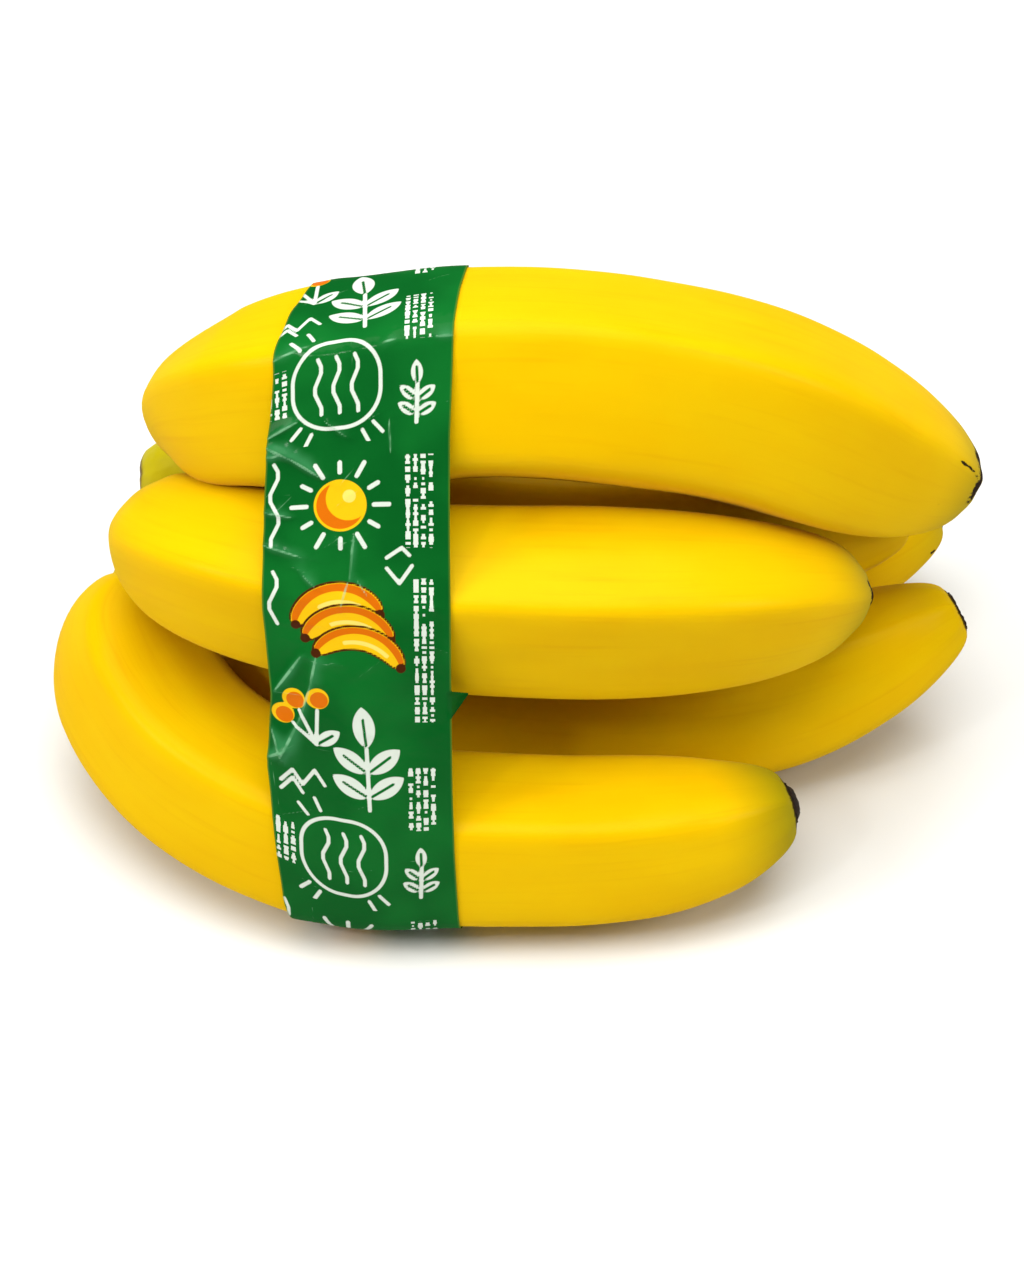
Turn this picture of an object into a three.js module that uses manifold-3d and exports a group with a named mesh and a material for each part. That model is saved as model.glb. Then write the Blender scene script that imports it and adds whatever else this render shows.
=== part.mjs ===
// A bunch of six bananas on one crown, lying on a table and held together by a strip of film.
// Units are millimetres, +Z is up and the fingers run along X, from the crown at -X to the tips at +X.
import * as THREE from "three";
import { mergeVertices } from "three/addons/utils/BufferGeometryUtils.js";
import Module from "manifold-3d";

// ---------------------------------------------------------------- driving dimensions
const TABLE = 0; // height of the surface that the bunch lies on
const JOINT_GAP = 0.3; // air between pieces that touch

const SIDES = 20; // facets round a banana
const BODY_STEPS = 34; // rings along a banana
const NECK_RADIUS = 6.2; // where the finger leaves the crown
const NECK_START = 4; // distance from a finger's start at which it begins to widen
const TIP_RADIUS = 4.8; // the blunt end that carries the dry flower
const TIP_SHARPNESS = 2.4; // powers of the curve by which the girth falls away to the tip
const TIP_BLUNTNESS = 0.6;
const BELLY_FALL = 0.1; // share of the girth lost half a banana's length from its thickest place

const RIDGE_ANGLES = [0, 76, 146, 214, 284]; // degrees round the section, from the front ridge
const RIDGE_SHARPNESS = 12; // higher is closer to a true pentagon
const RIDGE_SHARE = 0.72; // 0 is a round section, 1 the full rounded pentagon
const RIDGES_FROM = 5; // the ridges rise out of the neck between these distances from the crown
const RIDGES_FULL = 38;
const RIDGES_SOFTEN = 50; // and soften over this length before the tip
const RIDGES_AT_TIP = 0.5; // to this share of their height

const COLLAR_LENGTH = 12; // stretch of each neck that belongs to the crown
const COLLAR_FLARE = 1.6; // how much it widens where it meets the pad
const COLLAR_STEPS = 3;
const COLLAR_SIDES = 12;

const FLOWER_LENGTH = 1.6; // the dry flower end beyond the flesh
const FLOWER_INSET = 0.4; // how much narrower it is than the tip
const FLOWER_LOBES = 5;
const FLOWER_LOBE_DEPTH = 0.07; // as a share of its radius
const FLOWER_TAPER = 0.35; // share of its radius that it loses by its outer face
const FLOWER_STEPS = 3;
const FLOWER_SIDES = 10;

const FILM_THICKNESS = 0.6;
const FILM_GAP = 1.1; // air between the film and the skins inside it
const FILM_FROM = -50.5; // planes between which the strip's section is worked out
const FILM_TO = -6.5;
const FILM_SLICES = 24;
const FILM_ROUND = 120; // facets round the strip
const FILM_ACROSS = 5; // facets from edge to edge
const FILM_REAR_STANDS = -24; // the rear of the strip keeps its section to the left of this plane
const FILM_RAMP = 4; // length over which a banana on the table rises to lie on the film
const FILM_MIDDLE = new THREE.Vector2(50, 55); // Y and Z of the line that the strip goes round

// Where the strip's left and right edges run, by direction round its middle line: 0 degrees faces
// forwards, 90 up and 180 back. Under the table side it is pulled narrower.
const FILM_EDGES = [
  { angle: -180, left: -45, right: -11 },
  { angle: -120, left: -44, right: -10.5 },
  { angle: -60, left: -42.5, right: -9.5 },
  { angle: -42, left: -42.5, right: -9.4 },
  { angle: -34, left: -46.6, right: -10.8 },
  { angle: -24, left: -48, right: -11.6 },
  { angle: -14, left: -49.2, right: -11.9 },
  { angle: 4, left: -47.7, right: -12 },
  { angle: 27, left: -49.1, right: -12 },
  { angle: 45, left: -48.7, right: -12.1 },
  { angle: 64, left: -47.7, right: -12 },
  { angle: 78, left: -46.2, right: -11.2 },
  { angle: 90, left: -43.6, right: -10.1 },
  { angle: 101, left: -39.8, right: -8.6 },
  { angle: 120, left: -41, right: -9 },
  { angle: 150, left: -45, right: -11 },
  { angle: 180, left: -45, right: -11 },
];

// The point on the table that the part's origin stands on.
const MIDDLE = new THREE.Vector2(0.5, 48.3);

// Each finger has its girth, how far its neck and its tapering end reach, where along it the belly is
// thickest, the direction that its front ridge faces halfway along, in degrees above the table, how
// far the ridges turn down towards both ends, and the middle line of its flesh from crown to tip.
const FINGERS = [
  {
    name: "top",
    girth: 20,
    neck: 68,
    taper: 55,
    belly: 0.47,
    ridge: 63,
    twist: 20,
    line: [
      [-64, 72, 61],
      [-63.5, 66.8, 68.8],
      [-66.5, 62.6, 84.7],
      [-53.1, 52.7, 95.2],
      [-30.3, 47.1, 100.5],
      [-8.9, 46.2, 104.7],
      [16.6, 46.7, 103.1],
      [46.9, 51.1, 92.9],
      [72, 56.7, 78],
      [95.4, 64.6, 63.1],
    ],
  },
  {
    name: "middle",
    girth: 17.9,
    neck: 30,
    taper: 72,
    belly: 0.82,
    ridge: 36,
    twist: 0,
    line: [
      [-68, 72, 54],
      [-70.5, 64, 54],
      [-70.4, 49, 60],
      [-56.5, 32.6, 67],
      [-34.9, 24.6, 67.5],
      [-9.8, 23.2, 66.7],
      [17.3, 24.3, 64.9],
      [42.8, 28.3, 61.8],
      [58.9, 34.6, 57.2],
      [71.2, 42.5, 51],
    ],
  },
  {
    name: "front",
    girth: 17.2,
    neck: 46,
    taper: 35.5,
    belly: 0.32,
    ridge: 50,
    twist: 0,
    line: [
      [-71, 77, 47],
      [-77.1, 71.4, 40.3],
      [-78, 63.7, 33.7],
      [-82, 50.9, 29],
      [-72.5, 31.1, 22.6],
      [-57.4, 16.2, 19.5],
      [-33.6, 4.3, 17.6],
      [-11.3, 3.3, 17.3],
      [17.9, 3, 17.3],
      [40.4, 6, 18.2],
      [57.7, 10.9, 20.5],
    ],
  },
  {
    name: "inner",
    girth: 17.6,
    neck: 50,
    taper: 59,
    belly: 0.52,
    ridge: 60,
    twist: 0,
    line: [
      [-60, 81, 46],
      [-61.5, 75.5, 33.5],
      [-52.5, 63, 22.8],
      [-38, 53, 18.2],
      [-18, 48, 17.7],
      [3.9, 44.7, 17.7],
      [28.1, 43.3, 17.7],
      [55.1, 46.8, 19.2],
      [75.2, 51.7, 23.6],
      [96.3, 58.5, 31.9],
    ],
  },
  {
    name: "rear_upper",
    girth: 17.2,
    neck: 58,
    taper: 55,
    belly: 0.56,
    ridge: 60,
    twist: 0,
    line: [
      [-58, 79, 56],
      [-46, 76, 59],
      [-24, 69, 55],
      [2, 65, 52],
      [28, 65.5, 50.6],
      [54, 68, 48.7],
      [70.2, 70, 47.5],
      [84.9, 72.4, 47.6],
    ],
  },
  {
    name: "rear_lower",
    girth: 17.2,
    neck: 58,
    taper: 60,
    belly: 0.5,
    ridge: 60,
    twist: 0,
    line: [
      [-61, 89, 44],
      [-50, 94, 36],
      [-23, 95, 22],
      [6, 90, 17.8],
      [34, 88, 17.4],
      [59.5, 91.4, 17.8],
      [77.6, 94, 20],
      [95.7, 102.7, 23],
    ],
  },
];

// The crown is a flat pad with its cut end to the left and its length leaning back from the top.
const CROWN_CENTRE = new THREE.Vector3(0, 80, 52);
const CROWN_HALF_LENGTH = 18;
const CROWN_HALF_THICKNESS = 8.5;
const CROWN_LEAN = 42; // degrees above the table
const CROWN_SIDES = 24;
// Distance along X and share of the full section, from the cut face to the rounded inner end.
const CROWN_PROFILE = [
  [-78.8, 0],
  [-79.3, 0.72],
  [-78, 0.8],
  [-74.5, 0.9],
  [-70, 0.98],
  [-63, 1],
  [-58, 0.86],
  [-55, 0.55],
  [-54, 0],
];

// ---------------------------------------------------------------- materials
const skin = new THREE.MeshStandardMaterial({ color: 0xf2c21a, roughness: 0.5 });
const stalk = new THREE.MeshStandardMaterial({ color: 0xa9b43a, roughness: 0.6 });
const dryFlower = new THREE.MeshStandardMaterial({ color: 0x2e1d10, roughness: 0.9 });
const film = new THREE.MeshStandardMaterial({ color: 0x12803c, roughness: 0.25 });

// ---------------------------------------------------------------- shared shapes
const { clamp, degToRad, lerp, radToDeg, smoothstep } = THREE.MathUtils;

// Half angles between neighbouring ridges give the flat sides' directions.
const FLAT_DIRECTIONS = RIDGE_ANGLES.map((angle, i) => {
  const next = i + 1 < RIDGE_ANGLES.length ? RIDGE_ANGLES[i + 1] : 360;
  return degToRad((angle + next) / 2);
});

// Radius of a rounded pentagon of unit inradius, mixed with a circle.
function ridgedSection(angle) {
  const sum = FLAT_DIRECTIONS.reduce(
    (total, flat) => total + Math.max(0, Math.cos(angle - flat)) ** RIDGE_SHARPNESS,
    0,
  );
  return lerp(1, sum ** (-1 / RIDGE_SHARPNESS), RIDGE_SHARE);
}

// Joins rings of points, each a list of Vector3 that goes the same way round, into a closed tube.
function closedTube(rings) {
  const sides = rings[0].length;
  const last = rings.length - 1;
  const middle = (ring) =>
    ring.reduce((sum, point) => sum.add(point), new THREE.Vector3()).divideScalar(sides);
  const points = [...rings.flat(), middle(rings[0]), middle(rings[last])];
  const startMiddle = rings.length * sides;
  const faces = [];
  for (let k = 0; k < sides; k++) {
    const next = (k + 1) % sides;
    for (let i = 0; i < last; i++) {
      const [a, b] = [i * sides + k, i * sides + next];
      faces.push(a, b, b + sides, a, b + sides, a + sides);
    }
    faces.push(startMiddle, next, k);
    faces.push(startMiddle + 1, last * sides + k, last * sides + next);
  }
  return new THREE.BufferGeometry().setFromPoints(points).setIndex(faces);
}

const lineOf = (finger) =>
  new THREE.CatmullRomCurve3(
    finger.line.map((p) => new THREE.Vector3(...p)),
    false,
    "centripetal",
  );

const facingOf = (finger) =>
  new THREE.Vector3(0, -Math.cos(degToRad(finger.ridge)), Math.sin(degToRad(finger.ridge)));

// Rings round a stretch of a finger's middle line. The section's zero angle is on the front ridge.
// shape(distance, angle) gives the radius.
function ringsAlong(finger, from, to, steps, sides, shape) {
  const curve = lineOf(finger);
  const length = curve.getLength();
  const facing = facingOf(finger);
  const stations = Array.from({ length: steps + 1 }, (_, i) => lerp(from, to, i / steps));
  const tangents = stations.map((s) => curve.getTangentAt(clamp(s / length, 0, 1)));
  const across = (direction, i) =>
    direction.clone().addScaledVector(tangents[i], -direction.dot(tangents[i])).normalize();
  const normals = [];
  const middle = Math.round(steps / 2);
  normals[middle] = across(facing, middle);
  for (let i = middle + 1; i <= steps; i++) normals[i] = across(normals[i - 1], i);
  for (let i = middle - 1; i >= 0; i--) normals[i] = across(normals[i + 1], i);
  return stations.map((s, i) => {
    const centre = curve.getPointAt(clamp(s / length, 0, 1));
    // Beyond the curve's end the tube goes straight on.
    centre.addScaledVector(tangents[i], Math.max(0, s - length));
    const side = tangents[i].clone().cross(normals[i]);
    const turn = degToRad(finger.twist) * ((2 * s) / length - 1) ** 2;
    return Array.from({ length: sides }, (_, k) => {
      const angle = (2 * Math.PI * k) / sides;
      const radius = shape(s, angle);
      return centre
        .clone()
        .addScaledVector(normals[i], radius * Math.cos(angle + turn))
        .addScaledVector(side, radius * Math.sin(angle + turn));
    });
  });
}

// ---------------------------------------------------------------- bananas
// Mean radius of the finger at a distance from its start in the crown.
function girthAt(finger, distance, length) {
  const belly = 1 - BELLY_FALL * ((distance / length - finger.belly) * 2) ** 2;
  const neck = smoothstep(distance, NECK_START, finger.neck);
  const body = lerp(NECK_RADIUS, finger.girth * belly, neck);
  const toTip = clamp((length - distance) / finger.taper, 0, 1);
  const fullness = (1 - (1 - toTip) ** TIP_SHARPNESS) ** TIP_BLUNTNESS;
  return lerp(TIP_RADIUS, body, fullness);
}

// The pentagon fades out in the neck and softens at the tip.
function skinRadius(finger, distance, length, angle) {
  const atTip = lerp(RIDGES_AT_TIP, 1, smoothstep(length - distance, 0, RIDGES_SOFTEN));
  const ridged = smoothstep(distance, RIDGES_FROM, RIDGES_FULL) * atTip;
  return girthAt(finger, distance, length) * lerp(1, ridgedSection(angle), ridged);
}

// The underside lies flat on the table, and on the film's inner face where the strip passes under it.
function lieOnTable(point) {
  const inFilm = smoothstep(point.x, FILM_FROM, FILM_FROM + FILM_RAMP) *
    (1 - smoothstep(point.x, FILM_TO, FILM_TO + FILM_RAMP));
  const lowest = TABLE + inFilm * (FILM_THICKNESS + FILM_GAP);
  return point.setZ(Math.max(point.z, lowest));
}

function bananaRings(finger) {
  const length = lineOf(finger).getLength();
  const shape = (distance, angle) => skinRadius(finger, distance, length, angle);
  const rings = ringsAlong(finger, COLLAR_LENGTH + JOINT_GAP, length, BODY_STEPS, SIDES, shape);
  return rings.map((ring) => ring.map(lieOnTable));
}

// The dry flower end: a short lobed plug that closes bluntly.
function flowerGeometry(finger) {
  const start = lineOf(finger).getLength() + JOINT_GAP;
  const shape = (distance, angle) => {
    const along = (distance - start) / FLOWER_LENGTH;
    const lobes = 1 + FLOWER_LOBE_DEPTH * Math.cos(FLOWER_LOBES * angle);
    return (TIP_RADIUS - FLOWER_INSET) * lobes * (1 - FLOWER_TAPER * along ** 2);
  };
  const end = start + FLOWER_LENGTH;
  return closedTube(ringsAlong(finger, start, end, FLOWER_STEPS, FLOWER_SIDES, shape));
}

// ---------------------------------------------------------------- crown
function crownPad() {
  const profile = CROWN_PROFILE.map(([x, share]) => new THREE.Vector2(share, x)).reverse();
  const pad = new THREE.LatheGeometry(profile, CROWN_SIDES);
  pad.scale(CROWN_HALF_LENGTH, -1, CROWN_HALF_THICKNESS);
  return pad
    .rotateZ(Math.PI / 2)
    .rotateX(degToRad(90 + CROWN_LEAN))
    .translate(...CROWN_CENTRE.toArray());
}

// The stretch of a neck that has grown together with the pad.
function collarGeometry(finger) {
  const length = lineOf(finger).getLength();
  const shape = (distance) =>
    girthAt(finger, distance, length) + COLLAR_FLARE * (1 - distance / COLLAR_LENGTH) ** 2;
  return closedTube(ringsAlong(finger, 0, COLLAR_LENGTH, COLLAR_STEPS, COLLAR_SIDES, shape));
}

const MERGE_WITHIN = 1e-3;

async function fuse(geometries) {
  const wasm = await Module();
  wasm.setup();
  const solids = geometries.map((geometry) => {
    geometry.deleteAttribute("normal");
    geometry.deleteAttribute("uv");
    const merged = mergeVertices(geometry, MERGE_WITHIN);
    return new wasm.Manifold(
      new wasm.Mesh({
        numProp: 3,
        vertProperties: merged.attributes.position.array,
        triVerts: new Uint32Array(merged.index.array),
      }),
    );
  });
  const mesh = solids.reduce((whole, solid) => whole.add(solid)).getMesh();
  return new THREE.BufferGeometry()
    .setAttribute("position", new THREE.BufferAttribute(mesh.vertProperties, 3))
    .setIndex(new THREE.BufferAttribute(mesh.triVerts, 1));
}

// ---------------------------------------------------------------- film strip
// Where a banana's lengthwise edges cross the plane at x, moved outwards by a clearance.
function crossing(rings, x, clearance) {
  const points = [];
  for (let k = 0; k < rings[0].length; k++) {
    for (let i = 0; i + 1 < rings.length; i++) {
      const [a, b] = [rings[i][k], rings[i + 1][k]];
      if (a.x < x === b.x < x) continue;
      const t = (x - a.x) / (b.x - a.x);
      points.push(new THREE.Vector2(lerp(a.y, b.y, t), lerp(a.z, b.z, t)));
    }
  }
  const centre = points
    .reduce((sum, point) => sum.add(point), new THREE.Vector2())
    .divideScalar(Math.max(1, points.length));
  return points.map((point) =>
    point.add(point.clone().sub(centre).setLength(clearance)));
}

// Convex outline of points in the YZ plane, anticlockwise, by the monotone chain.
function convexOutline(points) {
  const sorted = [...points].sort((a, b) => a.x - b.x || a.y - b.y);
  const half = (list) => {
    const chain = [];
    for (const p of list) {
      while (chain.length > 1) {
        const [a, b] = chain.slice(-2);
        if (b.clone().sub(a).cross(p.clone().sub(b)) > 0) break;
        chain.pop();
      }
      chain.push(p);
    }
    return chain.slice(0, -1);
  };
  return [...half(sorted), ...half(sorted.reverse())];
}

// Distance from the strip's middle line to a convex outline, in one direction.
function reachOf(outline, direction) {
  return outline.reduce((nearest, a, i) => {
    const b = outline[(i + 1) % outline.length];
    const normal = new THREE.Vector2(b.y - a.y, a.x - b.x);
    const facing = normal.dot(direction);
    return facing > 0 ? Math.min(nearest, normal.dot(a.clone().sub(FILM_MIDDLE)) / facing) : nearest;
  }, Infinity);
}

// Directions from the middle line to evenly spaced points of an outline.
function evenDirections(outline) {
  const path = new THREE.CurvePath();
  outline.forEach((a, i) => path.add(new THREE.LineCurve(a, outline[(i + 1) % outline.length])));
  const points = path.getSpacedPoints(FILM_ROUND).slice(0, FILM_ROUND);
  return points.map((point) => point.sub(FILM_MIDDLE).normalize());
}

// Places along X of the strip's left and right edges, in a direction from its middle line.
function filmEdges(direction) {
  const angle = radToDeg(Math.atan2(direction.y, -direction.x));
  const next = Math.max(1, FILM_EDGES.findIndex((edge) => edge.angle >= angle));
  const [before, after] = [FILM_EDGES[next - 1], FILM_EDGES[next]];
  const share = (angle - before.angle) / (after.angle - before.angle);
  return [lerp(before.left, after.left, share), lerp(before.right, after.right, share)];
}

// The strip is pulled taut round all six bananas. Its rear stands off where the necks draw in.
function filmGeometry(bananas, rearBananas) {
  const step = (FILM_TO - FILM_FROM) / FILM_SLICES;
  const outlineAt = (x, clearance) => convexOutline([
    ...bananas.flatMap((rings) => crossing(rings, x, clearance)),
    ...rearBananas.flatMap((rings) => crossing(rings, Math.max(x, FILM_REAR_STANDS), clearance)),
  ]);
  const directions = evenDirections(outlineAt((FILM_FROM + FILM_TO) / 2, FILM_GAP));
  const reaches = [FILM_GAP, FILM_GAP + FILM_THICKNESS].map((clearance) =>
    Array.from({ length: FILM_SLICES + 1 }, (_, i) => {
      const outline = outlineAt(FILM_FROM + i * step, clearance);
      return directions.map((direction) => reachOf(outline, direction));
    }),
  );
  const pointAt = (layer, k, across) => {
    const [left, right] = filmEdges(directions[k]);
    const x = lerp(left, right, across);
    const place = (x - FILM_FROM) / step;
    const i = clamp(Math.floor(place), 0, FILM_SLICES - 1);
    const reach = lerp(reaches[layer][i][k], reaches[layer][i + 1][k], place - i);
    const p = FILM_MIDDLE.clone().addScaledVector(directions[k], reach);
    const lowest = TABLE + (layer === 0 ? FILM_THICKNESS : 0);
    return new THREE.Vector3(x, p.x, p.y < lowest + FILM_THICKNESS ? lowest : p.y);
  };
  const edgeToEdge = Array.from({ length: FILM_ACROSS + 1 }, (_, j) => j / FILM_ACROSS);
  // Out along the inner layer, round the edge and back along the outer one.
  const section = [
    ...edgeToEdge.map((across) => [0, across]),
    ...edgeToEdge.toReversed().map((across) => [1, across]),
  ];
  const rows = directions.map((_, k) =>
    section.map(([layer, across]) => pointAt(layer, k, across)));
  return closedRing(rows);
}

// Joins sections placed round a loop, the last to the first.
function closedRing(rows) {
  const width = rows[0].length;
  const faces = [];
  rows.forEach((_, i) => {
    const nextRow = (i + 1) % rows.length;
    for (let k = 0; k < width; k++) {
      const nextK = (k + 1) % width;
      const [a, b] = [i * width + k, i * width + nextK];
      const [c, d] = [nextRow * width + nextK, nextRow * width + k];
      faces.push(a, b, c, a, c, d);
    }
  });
  return new THREE.BufferGeometry().setFromPoints(rows.flat()).setIndex(faces);
}

// ---------------------------------------------------------------- assembly
function addPiece(group, name, geometry, material) {
  const piece = new THREE.Mesh(geometry, material);
  piece.name = name;
  group.add(piece);
}

const bunch = new THREE.Group();
const bodies = FINGERS.map(bananaRings);
FINGERS.forEach((finger, i) => {
  addPiece(bunch, `banana_${finger.name}`, closedTube(bodies[i]), skin);
  addPiece(bunch, `flower_end_${finger.name}`, flowerGeometry(finger), dryFlower);
});
addPiece(bunch, "crown", await fuse([crownPad(), ...FINGERS.map(collarGeometry)]), stalk);
const rearBodies = bodies.filter((_, i) => FINGERS[i].name.startsWith("rear"));
addPiece(bunch, "film_band", filmGeometry(bodies, rearBodies), film);

bunch.position.set(-MIDDLE.x, -MIDDLE.y, -TABLE);

export default bunch;
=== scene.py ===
"""The looks of a bunch of six bananas held by a strip of printed green film.

Lengths in this script are millimetres in the drawing's own frame, +X from the crown to the tips and
+Z up, until a mesh is made: MM turns them into metres and ORIGIN puts them in the part's frame.
"""

import math

import bpy
import numpy as np
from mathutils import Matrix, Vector


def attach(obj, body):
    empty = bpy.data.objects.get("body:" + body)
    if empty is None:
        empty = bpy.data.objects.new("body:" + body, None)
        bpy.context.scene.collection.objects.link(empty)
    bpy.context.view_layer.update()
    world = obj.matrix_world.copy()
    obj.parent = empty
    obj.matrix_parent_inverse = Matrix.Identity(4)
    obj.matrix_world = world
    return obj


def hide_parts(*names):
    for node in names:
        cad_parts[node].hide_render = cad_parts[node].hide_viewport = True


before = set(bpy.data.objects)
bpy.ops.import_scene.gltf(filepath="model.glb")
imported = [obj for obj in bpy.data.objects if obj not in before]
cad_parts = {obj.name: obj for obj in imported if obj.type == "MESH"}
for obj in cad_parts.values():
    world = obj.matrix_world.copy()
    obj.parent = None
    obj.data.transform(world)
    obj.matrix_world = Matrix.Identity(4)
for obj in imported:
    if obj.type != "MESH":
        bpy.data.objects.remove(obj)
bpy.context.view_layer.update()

MM = 0.001
ORIGIN = np.array([-0.5, -48.3, 0.0])  # from the drawing's frame to the part's

# ---- driving dimensions
NECK_RADIUS = 6.2
NECK_START = 4.0  # distance from a finger's start at which it begins to widen
TIP_RADIUS = 4.8
TIP_SHARPNESS = 2.4  # powers of the curve by which the girth falls away to the tip
TIP_BLUNTNESS = 0.6
BELLY_FALL = 0.1  # share of the girth lost half a banana's length away from its thickest place
SKIN_START = 10.5  # the flesh starts just inside the crown's collar

RIDGE_ANGLES = (0, 76, 146, 214, 284)
RIDGES_FROM, RIDGES_FULL = 5, 56  # the ridges rise out of the neck between these distances
RIDGES_SOFTEN = 50  # and soften over this length before the tip
RIDGES_AT_TIP = 0.5  # to this share of their height
RIDGE_SHARPNESS = 12
RIDGE_SHARE = 0.9
RIDGE_FLATTENING = 0.985  # the flats between the ridges lie this much closer in

# Where the underside of a banana bulges near its neck: how far along, over what length, and how much.
BULGES = {"top": (36.0, 14.0, np.array([0, -2.8, -2.8]))}
BULGE_SHARPNESS = 1.5  # power by which the bulge falls away round the section

UNEVENNESS = ((0.16, 26), (0.05, 9))  # mean height and wavelength of the skin's unevenness
UNEVEN_RADIUS = 16  # of the round section on which it is laid out
UNEVEN_STRETCH = 0.5  # and its wavelength is twice as long lengthwise
UNEVEN_FADE = 12  # length before the tip over which it fades
PLEATS = 9  # fine folds where the skin is drawn together at both ends
PLEAT_HEIGHT = 0.13
PLEAT_SWAY = 0.4  # how unequal they are, in radians
PLEAT_SWAYS = 3  # times round
TIP_PLEATS = 6.0  # length over which they fade from the tip
NECK_PLEATS = (8, 12.0)  # where they are deepest at the neck, and the length over which they fade
TIP_DRAWN_IN = (0.35, 1.2)  # how far the skin is drawn in at the very tip, and over what length

SKIN_RINGS = 250
SKIN_SIDES = 112
TANGENT_STEP = 0.5  # distance on both sides of a station from which its direction is taken

FILM_FROM = -50.5  # planes between which the strip's section is worked out
FILM_TO = -6.5
FILM_SLICES = 45
FILM_RAMP = 4.0  # length over which a banana on the table rises to lie on the film
FILM_LIFT = 0.30  # how far the film holds the skins off the table
FILM_CLEARANCE = 0.16
FILM_THICKNESS = 0.12
FILM_OFF_TABLE = 0.02  # gap that its underside keeps to the table
FILM_PRESSED = (0.6, 6)  # heights between which the waves and creases grow from flat to full height
FILM_ROUND = 940
FILM_ACROSS = 90
FILM_LINING = 14  # columns across the inner face, which has no print and is smooth but at its edges
FILM_REAR_STANDS = -24.0  # the rear of the strip keeps its section to the left of this plane
FILM_MIDDLE = np.array([50.0, 55.0])  # Y and Z of the line that the strip goes round

# Where the strip's left and right edges run, by direction round its middle line: 0 degrees faces
# forwards, 90 up and 180 back. Under the table side it is pulled narrower.
FILM_EDGES = (
    (-180, -45, -11), (-120, -44, -10.5), (-60, -42.5, -9.5), (-42, -42.5, -9.4), (-34, -46.6, -10.8),
    (-24, -48, -11.6), (-14, -49.2, -11.9), (4, -47.7, -12), (27, -49.1, -12), (45, -48.7, -12.1),
    (64, -47.7, -12), (78, -46.2, -11.2), (90, -43.6, -10.1), (101, -39.8, -8.6), (120, -41, -9),
    (150, -45, -11), (180, -45, -11),
)
EDGE_SMOOTHING = 5  # rows over which the corners of those edges are rounded

FILM_WAVE = 0.16  # mean height of the film's soft waves
FILM_WAVE_LENGTH = 21
FILM_WAVE_STRETCH = (0.7, 1, 1)  # they are longer across the strip
FILM_SLACK = 0.35  # mean height of the looser waves at its left edge
FILM_SLACK_LENGTH = 13
FILM_SLACK_REACH = 5
# The clearest creases: heading and x of both ends, height, and how far each side reaches.
CREASES = (
    ((66, -47.6), (68, -41.5), 0.68, 0.45, 1.6),
    ((64.5, -47.8), (61.9, -43.4), 1, 0.45, 1.5),
    ((61.9, -43.4), (57.6, -37.2), 0.9, 0.45, 2.0),
    ((62.7, -47.8), (62.5, -45.5), 0.75, 1, 1.2),
    ((77.4, -47), (78.4, -39), 0.52, 1.3, 2.4),
    ((77.2, -14.6), (77.3, -10.8), 0.6, 0.65, 1.4),
    ((67, -23.8), (61.5, -23.5), 0.52, 0.65, 0.9),
    ((67.5, -36.4), (64.5, -32), 0.52, 0.52, 1.4),
    ((77, -25), (77.4, -22), 0.52, 1.2, 1.2),
    ((51, -48.2), (49.6, -43), 0.6, 0.52, 1.5),
    ((45.1, -30.8), (35.3, -31.7), 0.68, 0.45, 1.3),
    ((34.3, -32.1), (28.5, -33.6), 0.6, 0.45, 1.2),
    ((35, -30.3), (31, -28.2), 0.45, 0.52, 1.0),
    ((36, -41), (33, -38.5), 0.6, 0.52, 1.4),
    ((43.2, -48.8), (40.3, -41.2), 0.68, 1.3, 2.2),
    ((29.6, -15.4), (27.8, -15.2), 0.38, 0.52, 0.7),
    ((15, -41.7), (5.4, -46.8), 0.75, 0.45, 1.5),
    ((15.2, -38.6), (7.5, -39.9), 0.75, 0.45, 1.4),
    ((7.5, -39.9), (-0.8, -42.1), 0.75, 0.45, 1.4),
    ((-0.8, -42.1), (-10.5, -46), 0.75, 0.45, 1.6),
    ((-4.6, -47.8), (-10.5, -46), 1, 0.45, 1.4),
    ((-11.6, -49), (-8.8, -45.3), 1, 1.2, 1.0),
)
CREASE_ENDS = 0.12  # share of a half wave left out at each end, where a crease keeps some height
CREASE_FULLNESS = 0.7  # power that keeps it high for most of its length
SMALL_CREASES = 90
SMALL_CREASE_X = (-49, -13)
SMALL_CREASE_CROWDING = 1.7  # power that crowds them towards the left edge
SMALL_CREASE_LEAN = 0.6  # usual lean from straight across, in radians
SMALL_CREASE_LENGTH = (2.0, 8.0)
SMALL_CREASE_HEIGHT = (0.06, 0.22)
SMALL_CREASE_SIDES = ((0.45, 0.7), (0.8, 2.2))  # how far the near and the far side reach
STRIP_RADIUS = 52  # usual distance from the strip to its middle line
CREST_WIDTH = 0.3  # half the width of a crease's top edge, painted with a glint and stress whitening, where the crease is highest
CREST_HEIGHT = 0.8  # height from which a crease gets that painted glint and whitening over that whole width

TUCK_HEADINGS = (1.4, 6.6)  # the corner folded in between the middle and front bananas
TUCK_TOP = 1.3  # degrees over which its upper edge ends
TUCK_FROM = 0.985  # share of the strip's width where the fold begins
TUCK_PULL = np.array([3.4, 5.8, -4.6])  # how far its tip is drawn aside, inwards and down

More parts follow.
